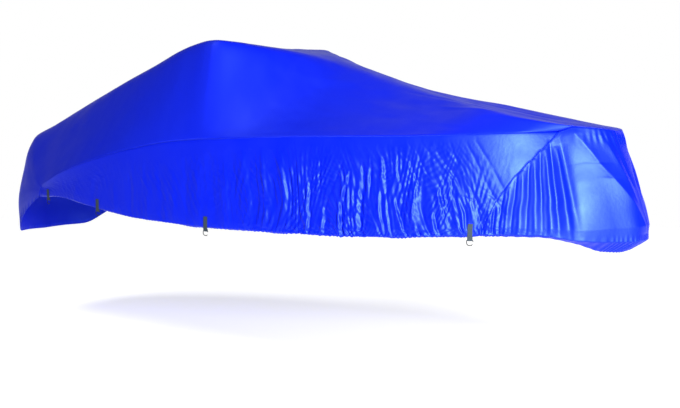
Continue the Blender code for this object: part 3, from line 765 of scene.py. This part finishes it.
# a tab is sewn to the skirt over its first stretch, falls past the hem and turns up behind the hook's bar
tabPiece = {"width": 0.038, "thick": 0.0016, "sewn": 0.030, "fall": 0.022, "tail": 0.018, "gap": 0.0018,
            "clear": 0.0006, "rings": 200, "columns": 17,
            "rib": 0.00012, "pick": 0.00010, "pickSpacing": 0.0022}
hookPiece = {"wire": 0.0060, "width": 0.051, "corner": 0.0045, "drop": 0.015, "leg": 0.011, "sides": 20,
             "tip": (0.98, 0.85, 0.55), "start": (0.60, 1.0)}


def onePoint(aft, drop):
    return skirtPoint(np.array([aft]), np.array([drop]))[0]


def tabFrame(aft):
    # the place of a tab on the skirt, its directions, and the bar that it goes round
    forward = onePoint(aft - 0.02, knuckleDrop) - onePoint(aft + 0.02, knuckleDrop)
    forward[2] = 0.0
    forward /= np.linalg.norm(forward)
    outward = np.cross(forward, (0.0, 0.0, 1.0))
    radius = hookPiece["wire"] / 2.0 + tabPiece["clear"] + tabPiece["thick"] / 2.0
    front = tabPiece["gap"] + tabPiece["thick"] / 2.0
    knuckle = onePoint(aft, knuckleDrop)
    bar = knuckle + outward * (front - radius)
    bar[2] = onePoint(aft, 1.0)[2] - tabPiece["fall"]
    return knuckle, forward, outward, bar, radius, front


def tabLine(aft):
    # the webbing's middle line with its outward side: sewn stretch, fall, round the bar, tail
    knuckle, forward, outward, bar, radius, front = tabFrame(aft)
    wall = deckPoint(np.array([max(aft, 0.0)]), np.array([-1.0]))[0][2] - knuckle[2]
    line = []
    for share in np.linspace(1.0, 0.0, 9):
        onCloth = onePoint(aft, knuckleDrop * (1.0 - share * min(tabPiece["sewn"] / wall, 0.9)))
        line.append((onCloth + outward * front, outward))
    foot = line[-1][0]
    for share in np.linspace(0.0, 1.0, 22)[1:-1]:
        line.append((foot + (bar + outward * radius - foot) * share, outward))
    for turn in np.linspace(0.0, math.pi, 21):
        side = outward * math.cos(turn) - np.array((0.0, 0.0, math.sin(turn)))
        line.append((bar + side * radius, side))
    lean = tabPiece["thick"] + tabPiece["clear"]  # the tail comes forward, off the bar's far side
    for share in np.linspace(0.15, 1.0, 8):
        up = np.array((0.0, 0.0, tabPiece["tail"] * share))
        line.append((bar + outward * (lean * ease(share, 0.0, 0.6) - radius) + up, -outward))
    return line, forward


def tubeMesh(name, rings, material):
    # rings is count x sides x 3, closed with one face at each end
    count, sides = rings.shape[:2]
    index = np.arange(count * sides).reshape(count, sides)
    following = np.roll(index, -1, axis=1)
    walls = np.stack([index[:-1], following[:-1], following[1:], index[1:]], -1).reshape(-1, 4)
    ends = np.stack([index[0][::-1], index[-1]])
    made = meshObject(name, rings.reshape(-1, 3) - heldAt, [walls, ends], material)
    made.data.flip_normals()
    return made


def webbingTab(name, aft, side):
    line, forward = tabLine(aft)
    middles = np.array([place for place, _ in line])
    outs = np.array([out for _, out in line])
    travelled = np.concatenate([[0.0], np.cumsum(np.linalg.norm(np.diff(middles, axis=0), axis=1))])
    fine = np.linspace(0.0, travelled[-1], tabPiece["rings"])
    middles = np.stack([np.interp(fine, travelled, middles[:, k]) for k in range(3)], -1)
    outs = np.stack([np.interp(fine, travelled, outs[:, k]) for k in range(3)], -1)
    outs /= np.linalg.norm(outs, axis=1, keepdims=True)
    across = np.linspace(-1.0, 1.0, tabPiece["columns"])
    # woven ribs run along the strap and picks cross it; its selvedges are thinner and rounded
    profile = np.sqrt(np.clip(1.0 - np.abs(across) ** 14, 0.0, 1.0)) * tabPiece["thick"] / 2.0
    ribs = tabPiece["rib"] * np.cos(across * math.pi * 4.0) * (np.abs(across) < 0.93)
    picks = tabPiece["pick"] * np.cos(2.0 * math.pi * fine / tabPiece["pickSpacing"])
    rise = (profile + ribs)[None, :] + picks[:, None] * (profile > tabPiece["thick"] / 4.0)[None, :]
    spread = across[None, :, None] * tabPiece["width"] / 2.0 * forward[None, None, :]
    upper = middles[:, None, :] + spread + outs[:, None, :] * rise[..., None]
    lower = middles[:, None, :] + spread - outs[:, None, :] * rise[..., None]
    rings = np.concatenate([upper, lower[:, -2:0:-1]], axis=1)
    if side > 0:
        rings = (rings * (1.0, -1.0, 1.0))[:, ::-1]
    standIn(tubeMesh("seen_" + name, rings, nylonWebbing), name)


def hookLine():
    # up the short leg, along the bar, then round to the open mouth: distances from the bar's middle
    half = (hookPiece["width"] - hookPiece["wire"]) / 2.0
    inner, corner = half - hookPiece["corner"], hookPiece["corner"]
    line = [(half, -hookPiece["leg"])]
    for middle, first, last in ((inner, 0.0, 90.0), (-inner, 90.0, 180.0)):
        for turn in np.radians(np.linspace(first, last, 9)):
            line.append((middle + corner * math.cos(turn), -corner + corner * math.sin(turn)))
    for turn in np.radians(np.linspace(180.0, 326.0, 45)):
        line.append((half * math.cos(turn), -hookPiece["drop"] + half * math.sin(turn)))
    return np.array(line)


def mouldedHook(name, aft, side):
    _, forward, outward, bar, _, _ = tabFrame(aft)
    line = hookLine()
    middles = bar + line[:, :1] * forward + line[:, 1:] * np.array((0.0, 0.0, 1.0))
    runs = np.gradient(middles, axis=0)
    runs /= np.linalg.norm(runs, axis=1, keepdims=True)
    acrosses = np.cross(runs, outward)
    turns = np.linspace(0.0, 2.0 * math.pi, hookPiece["sides"] + 1)[:-1]
    thick = np.full(len(line), 1.0)
    thick[-3:], thick[:2] = hookPiece["tip"], hookPiece["start"]
    turns = turns[None, :, None]
    rim = outward * np.cos(turns) + acrosses[:, None, :] * np.sin(turns)
    rings = middles[:, None, :] + rim * thick[:, None, None] * hookPiece["wire"] / 2.0
    if side > 0:
        rings = (rings * (1.0, -1.0, 1.0))[:, ::-1]
    standIn(tubeMesh("seen_" + name, rings, acetalHook), name)


for sideName, side in (("starboard", -1), ("port", 1)):
    for number, station in enumerate(tabStations, start=1):
        webbingTab(f"tab_{sideName}_{number}", station, side)
        mouldedHook(f"hook_{sideName}_{number}", station, side)
print("tabs and hooks ready")

studioFloor = {"level": -0.75, "radius": 11.0, "middle": 0.5, "sides": 96, "glow": 0.42}


def addFloor():
    # a pale round floor: an inner disk of strips inside one wide ring
    sides = studioFloor["sides"]
    turns = np.linspace(0.0, 2.0 * math.pi, sides + 1)[:-1]
    level = np.full(sides, studioFloor["level"] - heldAt[2])
    rings = [np.stack([radius * np.cos(turns), radius * np.sin(turns), level], -1)
             for radius in (studioFloor["middle"], studioFloor["radius"])]
    index = np.arange(sides)
    following = np.roll(index, -1)
    wide = np.stack([index, index + sides, following + sides, following], -1)
    strips = [[index[k], index[k + 1], index[-2 - k], index[-1 - k]] for k in range(sides // 2 - 1)]
    paint = plainMaterial("studioFloor", "#f6f6f5", 0.9, 0.1, Emission_Color=(1.0, 1.0, 1.0, 1.0),
                          Emission_Strength=studioFloor["glow"])
    faces = np.concatenate([wide, np.array(strips)])
    return meshObject("floor", np.concatenate(rings), [faces], paint, smooth=False)


addFloor()

keyLight = {"place": (7.5, -5.0, 0.1), "target": (2.4, -0.5, -1.0), "size": 2.8, "power": 1550.0}
overheadLight = {"direction": (0.25, 0.60, -1.0), "strength": 1.6, "angle": 25.0}


def addLight(name, lamp, direction, place=(0.0, 0.0, 0.0)):
    made = bpy.data.objects.new(name, lamp)
    made.location = place
    made.rotation_euler = Vector(direction).to_track_quat("-Z", "Y").to_euler()
    bpy.context.scene.collection.objects.link(made)


def addKeyLight():
    # a soft disk off the starboard bow, level with the top: it makes the creases of the near side shine
    lamp = bpy.data.lights.new("keyRight", "AREA")
    lamp.shape = "DISK"
    lamp.size = keyLight["size"]
    lamp.energy = keyLight["power"]
    direction = Vector(keyLight["target"]) - Vector(keyLight["place"])
    addLight("keyRight", lamp, direction, keyLight["place"])


def addOverheadLight():
    lamp = bpy.data.lights.new("overhead", "SUN")
    lamp.energy = overheadLight["strength"]
    lamp.angle = math.radians(overheadLight["angle"])
    addLight("overhead", lamp, overheadLight["direction"])


addKeyLight()
addOverheadLight()

# a dim hall with one bright wall behind the cover; from core to edge, in degrees, the wall fades
hall = {"dim": 0.14, "bright": 1.0, "wallWay": (-0.5, 0.866, 0.0), "wallCore": 30.0, "wallEdge": 55.0}

world = bpy.data.worlds.new("studio")
bpy.context.scene.world = world
world.use_nodes = True


def paintWorld(tree):
    tree.nodes.clear()
    coords = addNode(tree, "ShaderNodeTexCoord")
    toWall = addNode(tree, "ShaderNodeVectorMath", {"operation": "DOT_PRODUCT"},
                     {0: coords.outputs["Generated"]})
    toWall.inputs[1].default_value = hall["wallWay"]
    fade = addNode(tree, "ShaderNodeMapRange", {"interpolation_type": "SMOOTHSTEP"},
                   {"Value": toWall.outputs["Value"]}, To_Min=hall["dim"], To_Max=hall["bright"],
                   From_Min=math.cos(math.radians(hall["wallEdge"])),
                   From_Max=math.cos(math.radians(hall["wallCore"])))
    glow = addNode(tree, "ShaderNodeBackground", None, {"Strength": fade.outputs["Result"]},
                   Color=(1.0, 1.0, 1.0, 1.0))
    output = addNode(tree, "ShaderNodeOutputWorld")
    tree.links.new(glow.outputs["Background"], output.inputs["Surface"])


paintWorld(world.node_tree)

bpy.context.scene.view_settings.view_transform = "Standard"

# turn and down in degrees, roll in radians, lens in millimetres on a full frame
cameraAt = {"place": (5.231, -7.883, -0.495), "turn": 30.0, "down": 5.0, "roll": 0.010, "lens": 58.24}


def addCamera():
    turn, down = math.radians(cameraAt["turn"]), math.radians(cameraAt["down"])
    forward = Vector((-math.sin(turn) * math.cos(down), math.cos(turn) * math.cos(down), -math.sin(down)))
    right = Vector((math.cos(turn), math.sin(turn), 0.0))
    up = right.cross(forward)
    roll = cameraAt["roll"]
    tilted = right * math.cos(roll) + up * math.sin(roll)
    upright = up * math.cos(roll) - right * math.sin(roll)
    data = bpy.data.cameras.new("mainCamera")
    data.sensor_width = 36.0
    data.lens = cameraAt["lens"]
    data.clip_end = 500.0
    made = bpy.data.objects.new("mainCamera", data)
    facing = Matrix((tilted, upright, -forward)).transposed().to_4x4()
    made.matrix_world = Matrix.Translation(cameraAt["place"]) @ facing
    bpy.context.scene.collection.objects.link(made)
    bpy.context.scene.camera = made


addCamera()
